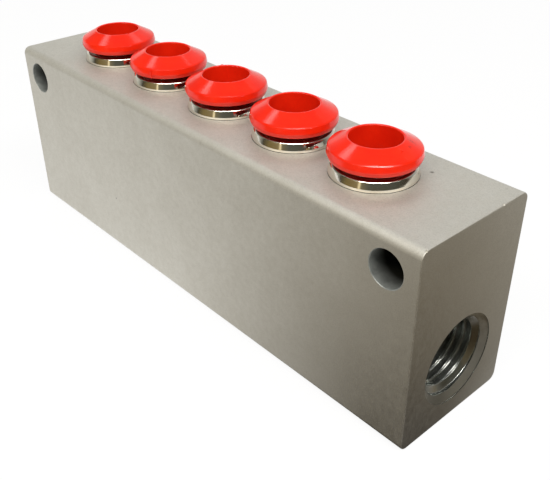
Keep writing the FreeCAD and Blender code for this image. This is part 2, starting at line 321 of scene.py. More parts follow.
@dataclass(frozen=True)
class Mark:
    """A small bruise, scratch or nub: a squashed ball, cut in or joined on."""

    place: Place
    size: Sides
    turn_degrees: Angles = (0.0, 0.0, 0.0)
    subdivisions: int = 2

    def tool(self, name: str, finish: bpy.types.Material) -> bpy.types.Object:
        """Make the ball that leaves this mark.

        Args:
            name: Name of the ball.
            finish: Finish of the wall that it leaves.

        Returns:
            The ball, at its place.
        """
        ball = bmesh.new()
        bmesh.ops.create_icosphere(ball, subdivisions=self.subdivisions, radius=1.0)
        scale(ball, tuple(side / 2 for side in self.size))
        for letter, degrees in zip("XYZ", self.turn_degrees):
            rotate(ball, math.radians(degrees), letter)
        move(ball, self.place)
        return make_piece(name, ball, finish)


# Finishes


@dataclass(frozen=True)
class Grain:
    """A cloudy noise: the rough size of one cloud, finer layers on top and their strength."""

    size_mm: float
    detail: float = 2.0
    roughness: float = 0.5


@dataclass(frozen=True)
class Relief:
    """A bump: what a height of 1 stands for, and the share of it that shows."""

    depth_mm: float
    share: float


@dataclass(frozen=True)
class Fade:
    """A colour that takes over along a direction, from one place in millimetres to another."""

    colour: Colour
    start: float
    full: float


class FinishSheet:
    """The node tree of one material, filled in with short calls."""

    def __init__(self, name: str) -> None:
        """Start a material with one principled surface.

        Args:
            name: Name of the material.
        """
        self.material = bpy.data.materials.new(name)
        self.material.use_nodes = True
        self.tree = self.material.node_tree
        self.tree.nodes.clear()
        self.surface = self.node("ShaderNodeBsdfPrincipled")
        self.output = self.node("ShaderNodeOutputMaterial")
        self.show(self.surface.outputs["BSDF"])
        self.place = self.node("ShaderNodeTexCoord").outputs["Object"]

    def node(self, kind: str, settings: dict | None = None, **sockets: object) -> bpy.types.Node:
        """Add a node.

        Args:
            kind: Blender's name of the node.
            settings: Its own settings.
            **sockets: Values or links of its inputs, by name, with _ for a space.

        Returns:
            The new node.
        """
        made = self.tree.nodes.new(kind)
        for key, value in (settings or {}).items():
            setattr(made, key, value)
        for key, value in sockets.items():
            self.put(made.inputs[key.replace("_", " ")], value)
        return made

    def put(self, socket: bpy.types.NodeSocket, value: object) -> None:
        """Link an output to a socket, or set the socket to a value.

        Args:
            socket: The input.
            value: An output, a number, or a tuple; a colour of three values gets its fourth here.
        """
        if isinstance(value, bpy.types.NodeSocket):
            self.tree.links.new(value, socket)
        elif isinstance(value, tuple) and len(value) == 3 and socket.type == "RGBA":
            socket.default_value = (*value, 1.0)
        else:
            socket.default_value = value

    def set_surface(self, **sockets: object) -> None:
        """Set or link inputs of the principled surface."""
        for key, value in sockets.items():
            self.put(self.surface.inputs[key.replace("_", " ")], value)

    def show(self, shader: bpy.types.NodeSocket) -> None:
        """Make a shader the material's surface."""
        self.put(self.output.inputs["Surface"], shader)

    def glow(self, colour: object) -> bpy.types.NodeSocket:
        """Give a glow as bright as its colour says."""
        return self.node("ShaderNodeEmission", Color=colour, Strength=1.0).outputs["Emission"]

    def mixed(
        self, share: object, first: bpy.types.NodeSocket, second: bpy.types.NodeSocket,
    ) -> bpy.types.NodeSocket:
        """Mix two shaders.

        Args:
            share: Share of the second shader.
            first: One shader.
            second: The other shader.

        Returns:
            The mixed shader.
        """
        both = self.node("ShaderNodeMixShader")
        for socket, value in zip(both.inputs, (share, first, second)):
            self.put(socket, value)
        return both.outputs["Shader"]

    def along(self, axis: Axis) -> bpy.types.NodeSocket:
        """Give a point's distance along an axis, in metres."""
        return self.node("ShaderNodeSeparateXYZ", Vector=self.place).outputs[axis.value]

    def stretched(self, sides: Sides) -> bpy.types.NodeSocket:
        """Give the object's coordinates with each direction scaled, for a drawn-out grain."""
        return self.node("ShaderNodeMapping", Vector=self.place, Scale=sides).outputs["Vector"]

    def noise(self, grain: Grain, where: bpy.types.NodeSocket | None = None) -> bpy.types.NodeSocket:
        """Add a cloudy noise.

        Args:
            grain: Its size and layers.
            where: Coordinates, or none for the object's own.

        Returns:
            The noise, about 0.5 in the middle.
        """
        made = self.node(
            "ShaderNodeTexNoise", Vector=where or self.place, Scale=1 / (grain.size_mm * MM),
            Detail=grain.detail, Roughness=grain.roughness,
        )
        return made.outputs["Fac"]

    def spread(
        self, source: bpy.types.NodeSocket, given: Pair, wanted: Pair = (0.0, 1.0),
    ) -> bpy.types.NodeSocket:
        """Stretch a value from one range to another and hold it there.

        Args:
            source: The value.
            given: The range that it comes in.
            wanted: The range that it shall have.

        Returns:
            The stretched value.
        """
        made = self.node(
            "ShaderNodeMapRange", Value=source, From_Min=given[0], From_Max=given[1],
            To_Min=wanted[0], To_Max=wanted[1],
        )
        return made.outputs["Result"]

    def blend(
        self, share: bpy.types.NodeSocket | float, first: object, second: object,
    ) -> bpy.types.NodeSocket:
        """Blend two colours.

        Args:
            share: Share of the second colour.
            first: One colour.
            second: The other colour.

        Returns:
            The blended colour.
        """
        made = self.node("ShaderNodeMix", {"data_type": "RGBA"})
        self.put(made.inputs[MIX_SHARE], share)
        self.put(made.inputs[MIX_FIRST], first)
        self.put(made.inputs[MIX_SECOND], second)
        return made.outputs[MIX_RESULT]

    def faded(self, along: bpy.types.NodeSocket, colour: object, fade: Fade) -> bpy.types.NodeSocket:
        """Blend a colour into that of a fade, by a distance along an axis."""
        share = self.spread(along, (fade.start * MM, fade.full * MM))
        return self.blend(share, colour, fade.colour)

    def sum(self, kind: Sum, first: object, second: object = 0.0) -> bpy.types.NodeSocket:
        """Work out one value from two.

        Args:
            kind: How they are combined.
            first: One value.
            second: The other value, if the sum has two.

        Returns:
            The result.
        """
        made = self.node("ShaderNodeMath", {"operation": kind.value})
        self.put(made.inputs[0], first)
        self.put(made.inputs[1], second)
        return made.outputs[0]

    def near(self, place: Place, full_mm: float, end_mm: float) -> bpy.types.NodeSocket:
        """Give 1 close to a place, falling to 0 away from it.

        Args:
            place: The place, in millimetres.
            full_mm: Distance up to which the value is 1.
            end_mm: Distance from which it is 0.

        Returns:
            The value.
        """
        far = self.node("ShaderNodeVectorMath", {"operation": "DISTANCE"})
        self.put(far.inputs[0], self.place)
        far.inputs[1].default_value = [side * MM for side in place]
        return self.spread(far.outputs["Value"], (full_mm * MM, end_mm * MM), (1.0, 0.0))

    def bump(
        self, height: bpy.types.NodeSocket, relief: Relief, onto: bpy.types.NodeSocket | None = None,
    ) -> bpy.types.NodeSocket:
        """Add a bump.

        Args:
            height: Height from 0 to 1.
            relief: Its depth and strength.
            onto: An earlier bump that this one lies on.

        Returns:
            The bumped direction of the surface.
        """
        made = self.node(
            "ShaderNodeBump", Height=height, Distance=relief.depth_mm * MM, Strength=relief.share,
        )
        if onto is not None:
            self.put(made.inputs["Normal"], onto)
        return made.outputs["Normal"]


@dataclass(frozen=True)
class BlastedAluminium:
    """Bead-blasted, clear anodised aluminium: fine grain, soft clouds and a few specks."""

    name: str = "blasted_aluminium_finish"
    colour: Colour = (0.700, 0.685, 0.630)
    cloud_colour: Colour = (0.640, 0.622, 0.565)
    speck_colour: Colour = (0.10, 0.09, 0.075)
    clouds: Grain = Grain(9.0, 4.0, 0.6)
    cloud_share: float = 0.6
    mottle: Grain = Grain(0.9, 3.0, 0.6)
    mottle_range: Pair = (0.35, 0.65)
    mottle_share: float = 0.4
    mottle_relief: Relief = Relief(0.05, 0.12)
    grain: Grain = Grain(0.16, 2.0, 0.7)
    grain_range: Pair = (0.45, 0.75)
    grain_share: float = 0.22
    grain_relief: Relief = Relief(0.03, 0.35)
    specks: Spots = (
        ((40.49, 6.11, 35.6), 0.42),
        ((51.57, -12.0, 35.1), 0.30),
        ((-22.0, -12.0, 12.0), 0.22),
    )
    speck_share: float = 0.7
    roughness: Pair = (0.62, 0.70)
    # Painted shade: where given, the colour darkens towards the bottom of the piece
    painted_shade_below: Fade | None = None

    def make(self) -> bpy.types.Material:
        """Build the material.

        Returns:
            The material.
        """
        sheet = FinishSheet(self.name)
        clouds = sheet.noise(self.clouds)
        mottle = sheet.noise(self.mottle)
        grain = sheet.noise(self.grain)
        wide = sheet.spread(clouds, NOISE_RANGE, (0.0, self.cloud_share))
        narrow = sheet.spread(mottle, self.mottle_range, (0.0, self.mottle_share))
        colour = sheet.blend(sheet.sum(Sum.PLUS, wide, narrow), self.colour, self.cloud_colour)
        fine = sheet.spread(grain, self.grain_range, (0.0, self.grain_share))
        colour = sheet.blend(fine, colour, self.speck_colour)
        # Painted shade: the colour darkens towards the bottom
        if self.painted_shade_below:
            colour = sheet.faded(sheet.along(Axis.UPRIGHT), colour, self.painted_shade_below)
        for place, reach in self.specks:
            speck = sheet.near(place, SPOT_CORE * reach, reach)
            colour = sheet.blend(sheet.sum(Sum.TIMES, speck, self.speck_share), colour, self.speck_colour)
        sheet.set_surface(
            Base_Color=colour, Metallic=1.0, Roughness=sheet.spread(mottle, NOISE_RANGE, self.roughness),
            Normal=sheet.bump(mottle, self.mottle_relief, sheet.bump(grain, self.grain_relief)),
        )
        return sheet.material


@dataclass(frozen=True)
class TurnedAluminium:
    """Bare machined wall of a hole: bright, with fine tool marks round the bore."""

    name: str
    axis: Axis
    colour: Colour = (0.47, 0.48, 0.46)
    dull_colour: Colour = (0.28, 0.285, 0.27)
    stain: Grain = Grain(1.6, 3.0, 0.55)
    stain_range: Pair = (0.42, 0.72)
    stain_share: float = 0.8
    tool_marks: Grain = Grain(0.12, 3.0, 0.6)
    tool_relief: Relief = Relief(0.012, 0.5)
    drawn_out: float = 0.04
    roughness: Pair = (0.20, 0.34)
    metallic: float = 1.0
    # Painted shade: where given, the colour darkens deeper into the hole, away from its mouths
    deep: Fade | None = None

    def make(self) -> bpy.types.Material:
        """Build the material.

        Returns:
            The material.
        """
        sheet = FinishSheet(self.name)
        round_bore = tuple(1.0 if axis is self.axis else self.drawn_out for axis in Axis)
        rings = sheet.noise(self.tool_marks, sheet.stretched(round_bore))
        dull = sheet.spread(sheet.noise(self.stain), self.stain_range, (0.0, self.stain_share))
        colour = sheet.blend(dull, self.colour, self.dull_colour)
        # Painted shade: darker the deeper into the hole
        if self.deep:
            from_middle = sheet.sum(Sum.UNSIGNED, sheet.along(self.axis))
            colour = sheet.faded(from_middle, colour, self.deep)
        sheet.set_surface(
            Base_Color=colour, Metallic=self.metallic, Normal=sheet.bump(rings, self.tool_relief),
            Roughness=sheet.spread(rings, NOISE_RANGE, self.roughness),
        )
        return sheet.material


@dataclass(frozen=True)
class NickelPlate:
    """Bright nickel on turned brass: near-mirror, slightly wavy, faint rubbing marks."""

    colour: Colour = (0.86, 0.83, 0.77)
    warm_colour: Colour = (0.78, 0.72, 0.62)
    haze: Grain = Grain(2.2, 3.0, 0.6)
    haze_range: Pair = (0.35, 0.75)
    rub: Grain = Grain(0.10)
    rub_stretch: Sides = (0.15, 0.15, 1.0)
    rub_relief: Relief = Relief(0.004, 0.4)
    wave: Grain = Grain(1.1, 1.0)
    wave_relief: Relief = Relief(0.012, 0.5)
    roughness: Pair = (0.05, 0.11)

    def make(self) -> bpy.types.Material:
        """Build the material.

        Returns:
            The material.
        """
        sheet = FinishSheet("nickel_plate_finish")
        haze = sheet.noise(self.haze)
        rub = sheet.noise(self.rub, sheet.stretched(self.rub_stretch))
        wavy = sheet.bump(sheet.noise(self.wave), self.wave_relief)
        sheet.set_surface(
            Base_Color=sheet.blend(sheet.spread(haze, self.haze_range), self.colour, self.warm_colour),
            Metallic=1.0, Roughness=sheet.spread(haze, NOISE_RANGE, self.roughness),
            Normal=sheet.bump(rub, self.rub_relief, wavy),
        )
        return sheet.material


@dataclass(frozen=True)
class RedPlastic:
    """Glossy moulded plastic with faint flow marks and, in a few places, dull smudges."""

    name: str = "red_plastic_finish"
    colour: Colour = (0.79, 0.020, 0.004)
    deep_colour: Colour = (0.71, 0.014, 0.003)
    flow: Grain = Grain(2.6, 3.0, 0.55)
    skin: Grain = Grain(0.35)
    skin_relief: Relief = Relief(0.006, 0.35)
    smudges: Spots = (
        ((38.27, 2.94, 41.08), 0.6),
        ((38.80, 3.17, 40.77), 0.7),
        ((39.54, 1.56, 40.81), 0.5),
    )
    smudge_colour: Colour = (0.42, 0.010, 0.003)
    smudge_range: Pair = (0.4, 0.6)
    smudge_share: float = 0.9
    roughness: Pair = (0.10, 0.17)
    bending: float = 1.42

    def make(self) -> bpy.types.Material:
        """Build the material.

        Returns:
            The material.
        """
        sheet = FinishSheet(self.name)
        flow = sheet.noise(self.flow)
        skin = sheet.noise(self.skin)
        colour = sheet.blend(sheet.spread(flow, NOISE_RANGE), self.colour, self.deep_colour)
        for place, reach in self.smudges:
            smudge = sheet.near(place, SPOT_CORE * reach, reach)
            patchy = sheet.spread(skin, self.smudge_range, (0.0, self.smudge_share))
            colour = sheet.blend(sheet.sum(Sum.TIMES, smudge, patchy), colour, self.smudge_colour)
        sheet.set_surface(
            Base_Color=colour, Metallic=0.0, IOR=self.bending,
            Roughness=sheet.spread(flow, NOISE_RANGE, self.roughness),
            Normal=sheet.bump(skin, self.skin_relief),
        )
        return sheet.material


@dataclass(frozen=True)
class InnerFinish:
    """Finish of a part deep in the bore, with a grain of its own."""

    name: str
    colour: Colour
    second_colour: Colour
    metallic: float
    roughness: Pair
    grain_mm: float
    relief: Relief
    grains_in_cloud: float = 12.0

    def make(self) -> bpy.types.Material:
        """Build the material.

        Returns:
            The material.
        """
        sheet = FinishSheet(self.name)
        cloud = sheet.noise(Grain(self.grain_mm * self.grains_in_cloud, 3.0, 0.6))
        grain = sheet.noise(Grain(self.grain_mm))
        sheet.set_surface(
            Base_Color=sheet.blend(sheet.spread(cloud, NOISE_RANGE), self.colour, self.second_colour),
            Metallic=self.metallic, Roughness=sheet.spread(cloud, NOISE_RANGE, self.roughness),
            Normal=sheet.bump(grain, self.relief),
        )
        return sheet.material


# Finishes of the rings that stay from the frame, by the start of their nodes' names
INNER_FINISHES = {
    "grip_ring": InnerFinish(
        "spring_steel_finish", (0.62, 0.62, 0.61), (0.50, 0.50, 0.50),
        metallic=1.0, roughness=(0.18, 0.30), grain_mm=0.12, relief=Relief(0.01, 0.5),
    ),
    "spacer_ring": InnerFinish(
        "white_plastic_finish", (0.80, 0.79, 0.75), (0.74, 0.72, 0.67),
        metallic=0.0, roughness=(0.40, 0.55), grain_mm=0.25, relief=Relief(0.01, 0.5),
    ),
    "tube_seal": InnerFinish(
        "seal_rubber_finish", (0.022, 0.022, 0.023), (0.035, 0.034, 0.033),
        metallic=0.0, roughness=(0.42, 0.60), grain_mm=0.20, relief=Relief(0.012, 0.5),
    ),
}


# The block


def run_along_bar(edge: bmesh.types.BMEdge) -> float:
    """Give how far an edge runs along X."""
    return abs(edge.verts[0].co.x - edge.verts[1].co.x)


@dataclass
class Block:
    """Aluminium bar with its gallery, two ports, two fixing holes and five outlet bores."""

    length: float = 106.5
    depth: float = 24.0
    height: float = 35.6
    edge_radius: float = 1.4
    edge_segments: int = 10
    end_break: float = 0.2
    end_segments: int = 2
    gallery_radius: float = 5.6
    port_height: float = 11.1
    port_radius: float = 6.8
    port_depth: float = 12.0
    mouth_radius: float = 7.8
    mouth_step: float = 0.16
    fixing_radius: float = 3.0
    fixing_end_inset: float = 5.65
    fixing_top_inset: float = 5.3
    rim_break: float = 0.1
    outlet_bore: float = 6.45
    groove_radius: float = 5.75
    seat_radius: float = 4.05
    passage_radius: float = 3.1
    ring_floor: float = -7.9
    groove_floor: float = -10.1
    tube_stop: float = -13.5
    foot_groove: Pair = (6.72, 6.95)
    foot_groove_depth: float = 0.16
    overrun: float = 1.0
    flats: int = 128
    marks: tuple[Mark, ...] = (
        Mark((53.17, 5.75, 35.57), (0.50, 0.62, 0.30), (0.0, 35.0, 20.0)),
        Mark((53.12, -11.15, 35.42), (0.34, 0.42, 0.26), (20.0, 30.0, 0.0)),
        Mark((47.60, -11.70, 35.48), (0.75, 0.20, 0.16), (0.0, 8.0, 24.0)),
        Mark((51.60, -11.98, 35.05), (0.30, 0.10, 0.26)),
        Mark((40.49, 6.11, 35.62), (0.55, 0.42, 0.14), (0.0, 0.0, 30.0)),
    )

    def bar(self, finish: bpy.types.Material, end_finish: bpy.types.Material) -> bpy.types.Object:
        """Make the plain bar with rounded long edges and broken end edges.

        Args:
            finish: Finish of its long sides.
            end_finish: Finish of its two ends.

        Returns:
            The bar.
        """
        shape = bmesh.new()
        bmesh.ops.create_cube(shape, size=1.0)
        scale(shape, (self.length, self.depth, self.height))
        move(shape, (0, 0, self.height / 2))
        long_edges = [edge for edge in shape.edges if run_along_bar(edge) > self.length / 2]
        round_off(shape, long_edges, self.edge_radius, Rounded.EDGES, self.edge_segments)
        end_edges = [edge for edge in shape.edges if run_along_bar(edge) < self.length / 2]
        round_off(shape, end_edges, self.end_break, Rounded.EDGES, self.end_segments)
        for face in shape.faces:
            if abs(face.normal.x) > END_FACING:
                face.material_index = SECOND_FINISH
        bar = make_piece("block_with_ports", shape, finish)
        bar.data.materials.append(end_finish)
        return bar

    def gallery_tool(self, bore: bpy.types.Material, mouth: bpy.types.Material) -> bpy.types.Object:
        """Make the cutter of the gallery and both ports, which runs from end to end.

        Args:
            bore: Finish of the walls inside.
            mouth: Finish of the countersinks, with painted light and shade: lighter at the top and darker
                towards the bottom.

        Returns:
            The cutter, at its place.
        """
        end = self.length / 2
        cone = self.mouth_radius - self.port_radius
        step = self.port_radius - self.gallery_radius
        shape = turned(mirrored([
            (0.0, end + self.overrun, 0.0),
            (self.mouth_radius, end + self.overrun, 0.0),
            (self.mouth_radius, end - self.mouth_step, 0.0),
            (self.port_radius, end - cone, 0.0),
            (self.port_radius, end - self.port_depth, 0.0),
            (self.gallery_radius, end - self.port_depth - step, 0.0),
        ]), self.flats)
        # The countersink faces take the second finish, which holds painted light and shade
        for face in shape.faces:
            radii = [math.hypot(point.co.x, point.co.y) for point in face.verts]
            if min(radii) < self.mouth_radius - cone / 2 < max(radii):
                face.material_index = SECOND_FINISH
        stand(shape, Axis.ALONG_BAR, (0, 0, self.port_height))
        tool = make_piece("gallery_tool", shape, bore)
        tool.data.materials.append(mouth)
        return tool

    def fixing_tool(self, name: str, side: int, finish: bpy.types.Material) -> bpy.types.Object:
        """Make the cutter of one fixing hole, flared a little at both faces.

        Args:
            name: Name of the cutter.
            side: 1 for the +X end and -1 for the other.
            finish: Finish of the hole's wall.

        Returns:
            The cutter, at its place.
        """
        face = self.depth / 2
        flare = self.fixing_radius + self.rim_break
        shape = turned(mirrored([
            (0.0, face + self.overrun, 0.0),
            (flare + self.overrun, face + self.overrun, 0.0),
            (flare, face, 0.0),
            (self.fixing_radius, face - self.rim_break, 0.0),
        ]), self.flats)
        place = (side * (self.length / 2 - self.fixing_end_inset), 0, self.height - self.fixing_top_inset)
        stand(shape, Axis.THROUGH_BAR, place)
        return make_piece(name, shape, finish)

    def top_tool(
        self, name: str, across: float, outline: Sequence[Corner], finish: bpy.types.Material,
    ) -> bpy.types.Object:
        """Make a cutter that works down from the top face.

        Args:
            name: Name of the cutter.
            across: X of its axis.
            outline: Its section, with the top face at zero height.
            finish: Finish of the walls that it leaves.

        Returns:
            The cutter, at its place.
        """
        shape = turned(outline, self.flats)
        stand(shape, Axis.UPRIGHT, (across, 0, self.height))
        return make_piece(name, shape, finish)

    def outlet_tools(self, places: Sequence[float], finish: bpy.types.Material) -> list[bpy.types.Object]:
        """Make the cutters of the stepped outlets and of the fine grooves round the collars' feet.

        Args:
            places: X of each outlet.
            finish: Finish of the walls.

        Returns:
            The cutters of the outlets and then those of the grooves.
        """
        gallery = self.port_height - self.height
        inner, outer = self.foot_groove
        outlines = {
            "outlet_tool": (
                (0.0, self.overrun, 0.0),
                (self.outlet_bore, self.overrun, 0.0),
                (self.outlet_bore, self.ring_floor, 0.0),
                (self.groove_radius, self.ring_floor, 0.0),
                (self.groove_radius, self.groove_floor, 0.0),
                (self.seat_radius, self.groove_floor, 0.0),
                (self.seat_radius, self.tube_stop, 0.0),
                (self.passage_radius, self.tube_stop, 0.0),
                (self.passage_radius, gallery, 0.0),
                (0.0, gallery, 0.0),
            ),
            "groove_tool": (
                (inner, -self.foot_groove_depth, 0.0),
                (outer, -self.foot_groove_depth, 0.0),
                (outer, self.overrun, 0.0),
                (inner, self.overrun, 0.0),
            ),
        }
        return [
            self.top_tool(f"{kind}_{index}", across, outline, finish)
            for kind, outline in outlines.items()
            for index, across in enumerate(places)
        ]

    def build(self, places: Sequence[float], finish: bpy.types.Material) -> bpy.types.Object:
        """Make the whole block.

        Args:
            places: X of each outlet.
            finish: Blasted finish of the outside.

        Returns:
            The block, riding on its body.
        """
        block = self.bar(finish, BlastedAluminium("faced_end_finish", roughness=(0.52, 0.60)).make())
        along = TurnedAluminium("port_wall_finish", Axis.ALONG_BAR).make()
        # The fixing holes darken deeper in: painted shade
        through = TurnedAluminium(
            "fixing_hole_painted_shade_finish", Axis.THROUGH_BAR, (0.30, 0.315, 0.295), (0.18, 0.19, 0.18),
            roughness=(0.40, 0.55), metallic=0.4, deep=Fade((0.016, 0.015, 0.010), 11.6, 8.6),
        ).make()
        upright = TurnedAluminium("outlet_wall_finish", Axis.UPRIGHT).make()
        # The countersinks' colour is painted light and shade: lighter than the bar at the top, darker
        # towards the bottom
        mouth = BlastedAluminium(
            "countersink_painted_shading_finish", (0.86, 0.84, 0.78), (0.80, 0.78, 0.72), specks=(),
            painted_shade_below=Fade((0.19, 0.18, 0.15), 18.0, 4.5),
        ).make()
        tools = [self.gallery_tool(along, mouth)]
        tools += [self.fixing_tool(f"fixing_tool_{side}", side, through) for side in (-1, 1)]
        tools += self.outlet_tools(places, upright)
        tools += [mark.tool(f"block_mark_{index}", finish) for index, mark in enumerate(self.marks)]
        work_in(block, tools, Fit.CUT)
        smooth(block)
        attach(block, Body.MANIFOLD.value)
        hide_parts("manifold_block")
        return block


@dataclass
class PortThread:
    """Right-handed pipe thread in one port: one closed ridge wound along the port's wall."""

    block: Block
    pitch: float = 25.4 / 18
    crest_radius: float = 5.75
    crest_round: float = 0.12
    root_round: float = 0.10
    root_gap: float = 0.02
    flank_degrees: float = 60.0
    bend_steps: int = 3
    root_sink: float = 0.06
    flats: int = 96
    start: float = 41.2
    turns: float = 8.0
    inner_fade_turns: float = 1.0
    outer_fade_turns: float = 0.5
    crease_degrees: float = 50.0

    def outline(self) -> bmesh.types.BMesh:
        """Draw the ridge's section, with the port's axis along Z and its base in the wall.

        Returns:
            A mesh that holds the section as one face.
        """
        wall = self.block.port_radius
        foot = self.pitch / 2 - self.root_gap / 2
        bends = [
            math.radians(self.flank_degrees * step / self.bend_steps) for step in range(self.bend_steps + 1)
        ]
        crest = [
            (self.crest_radius + self.crest_round * (1 - math.cos(bend)), self.crest_round * math.sin(bend))
            for bend in bends
        ]
        root = [
            (wall - self.root_round * (1 - math.cos(bend)), foot - self.root_round * math.sin(bend))
            for bend in reversed(bends)
        ]
        half = [*crest, *root, (wall + self.root_sink, foot)]
        section = [(across, -up) for across, up in reversed(half[1:])] + half
        shape = bmesh.new()
        shape.faces.new([shape.verts.new((across, 0, up)) for across, up in section])
        return shape

    def build(self, name: str, side: int, finish: bpy.types.Material) -> bpy.types.Object:
        """Wind the ridge, trim it by the countersink and fade both its ends.

        Args:
            name: Name of the piece.
            side: 1 for the +X port and -1 for the other.
            finish: Its material.

        Returns:
            The thread, riding on its body.
        """
        shape = self.outline()
        corners = len(shape.verts)
        steps = round(self.turns * self.flats)
        bmesh.ops.spin(
            shape, geom=shape.verts[:] + shape.edges[:] + shape.faces[:], cent=(0, 0, 0), axis=(0, 0, 1),
            dvec=(0, 0, self.turns * self.pitch / steps), angle=FULL_TURN * self.turns, steps=steps,
            use_merge=False,
        )
        move(shape, (0, 0, self.start))
        self.trim(shape, corners, steps)
        bmesh.ops.recalc_face_normals(shape, faces=shape.faces[:])
        stand(shape, Axis.ALONG_BAR, (0, 0, self.block.port_height))
        if side < 0:
            rotate(shape, math.pi, "Z")
        piece = make_piece(name, shape, finish)
        crease(piece, self.crease_degrees)
        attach(piece, Body.MANIFOLD.value)
        return piece

    def trim(self, shape: bmesh.types.BMesh, corners: int, steps: int) -> None:
        """Press the ridge back to the countersink's cone, and to the wall over its two ends.

        Args:
            shape: The ridge about the Z axis, still in the order in which it was wound.
            corners: Corners of its section.
            steps: Steps from its first to its last section.
        """
        wall = self.block.port_radius
        rise = self.block.mouth_radius - wall
        mouth = self.block.length / 2 - rise
        slope = rise / (rise - self.block.mouth_step)
        shape.verts.index_update()
        for point in shape.verts:
            along = (point.index // corners) / steps * self.turns
            share = min(1.0, along / self.inner_fade_turns, (self.turns - along) / self.outer_fade_turns)
            radius = math.hypot(point.co.x, point.co.y)
            cone = wall + slope * (point.co.z - mouth)
            sink = max(wall, cone) + self.root_sink
            wanted = max(sink - (sink - radius) * share, min(cone, sink))
            if point.co.z > mouth:
                wanted = sink
            point.co.x *= wanted / radius
            point.co.y *= wanted / radius


# The fittings


@dataclass
class Collar:
    """Nickel-plated ring pressed into an outlet: its wall leans in to a small round shoulder."""

    head_radius: float = 6.9
    head_height: float = 1.65
    wall_height: float = 0.38
    wall_round: float = 0.9
    taper_degrees: float = 17.0
    shoulder_radius: float = 0.45
    lip_bore: float = 5.15
    mouth_radius: float = 0.15
    foot_break: float = 0.09
    lip_depth: float = 2.5
    chamber_radius: float = 5.85
    barrel_radius: float = 6.45
    barrel_length: float = 5.0
    inner_round: float = 0.05
    flats: int = 176
    segments: int = 14

    def build(self, number: int, place: Place, finish: bpy.types.Material) -> bpy.types.Object:
        """Turn one collar.

        Args:
            number: Number of its outlet.
            place: Where the outlet's axis meets the top face.
            finish: Its material.

        Returns:
            The collar, riding on the manifold's body.
        """
        taper = (self.head_height - self.wall_height) * math.tan(math.radians(self.taper_degrees))
        corners = [
            (self.head_radius, 0.0, self.foot_break),
            (self.head_radius, self.wall_height, self.wall_round),
            (self.head_radius - taper, self.head_height, self.shoulder_radius),
            (self.lip_bore, self.head_height, self.mouth_radius),
            (self.lip_bore, -self.lip_depth, self.inner_round),
            (self.chamber_radius, -self.lip_depth, 0.0),
            (self.chamber_radius, -self.barrel_length, self.inner_round),
            (self.barrel_radius, -self.barrel_length, 0.0),
            (self.barrel_radius, 0.0, 0.0),
        ]
        shape = turned(corners, self.flats, self.segments)
        stand(shape, Axis.UPRIGHT, place)
        collar = make_piece(f"plated_collar_{number}", shape, finish)
        smooth(collar)
        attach(collar, Body.MANIFOLD.value)
        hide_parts(f"collar_{number}")
        return collar


